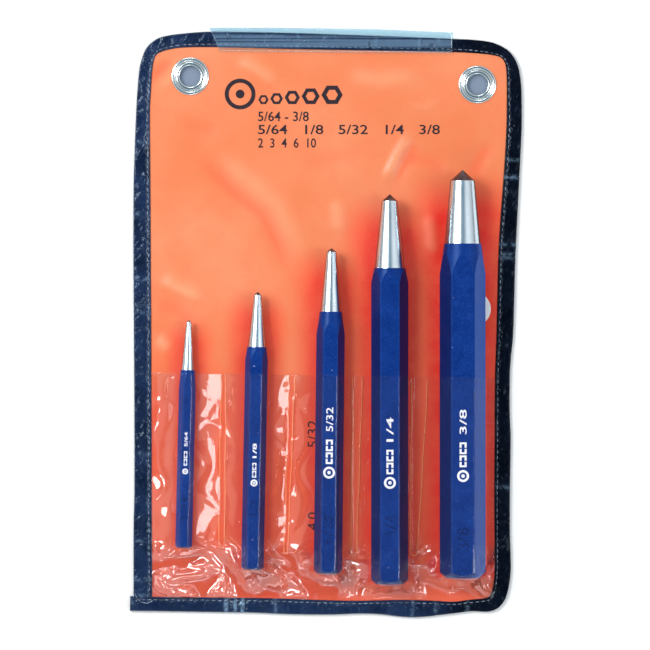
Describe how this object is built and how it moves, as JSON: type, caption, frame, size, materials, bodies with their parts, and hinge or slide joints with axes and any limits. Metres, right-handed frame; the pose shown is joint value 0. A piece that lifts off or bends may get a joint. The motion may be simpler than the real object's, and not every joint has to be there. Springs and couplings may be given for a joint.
{
  "type": "center punch set",
  "caption": "Graduated hexagonal center punches with turned steel points and blue enamel, in welded clear pockets on a flat orange vinyl pouch with taped edge and hanging grommets.",
  "frame": {"origin": "middle of the overall box, on the back of the pouch, which lies on its back", "axes": "+X across the pouch, from the smallest punch to the largest; +Y up the pouch, towards the grommets and the punches' points; +Z out of the pouch's front"},
  "size_m": [0.157, 0.2362, 0.019],
  "materials": {
    "steel": "fine turned and ground, satin",
    "blue_enamel": "semi-gloss stoving enamel with a fine texture",
    "orange_vinyl": "soft calendered vinyl with a slight sheen",
    "clear_vinyl": "clear glossy vinyl film",
    "binding_tape": "grained vinyl-coated tape, slight sheen",
    "thread": "polyester sewing thread",
    "nickel": "nickel-plated brass, bright",
    "sticker": "plain white adhesive label"
  },
  "bodies": {
    "pouch": {"back_panel": "orange_vinyl", "pocket_panel": "clear_vinyl", "edge_binding": "binding_tape", "needle_thread": "thread", "bobbin_thread": "thread", "top_sleeve": "clear_vinyl", "grommet_left": "nickel", "grommet_washer_left": "nickel", "grommet_right": "nickel", "grommet_washer_right": "nickel", "round_sticker": "sticker"},
    "punch_body_1": {"punch_1": "steel", "enamel_1": "blue_enamel"},
    "punch_body_2": {"punch_2": "steel", "enamel_2": "blue_enamel"},
    "punch_body_3": {"punch_3": "steel", "enamel_3": "blue_enamel"},
    "punch_body_4": {"punch_4": "steel", "enamel_4": "blue_enamel"},
    "punch_body_5": {"punch_5": "steel", "enamel_5": "blue_enamel"}
  },
  "joints": [
    {"name": "punch_1_slide", "type": "slide", "parent": "pouch", "child": "punch_body_1", "axis": [0.0234, 0.9997, 0], "range_m": [0, 0.0715]},
    {"name": "punch_2_slide", "type": "slide", "parent": "pouch", "child": "punch_body_2", "axis": [0.0195, 0.9998, 0], "range_m": [0, 0.08]},
    {"name": "punch_3_slide", "type": "slide", "parent": "pouch", "child": "punch_body_3", "axis": [0.0113, 0.9999, 0], "range_m": [0, 0.0805]},
    {"name": "punch_4_slide", "type": "slide", "parent": "pouch", "child": "punch_body_4", "axis": [0, 1, 0], "range_m": [0, 0.0845]},
    {"name": "punch_5_slide", "type": "slide", "parent": "pouch", "child": "punch_body_5", "axis": [0, 1, 0], "range_m": [0, 0.0815]}
  ]
}
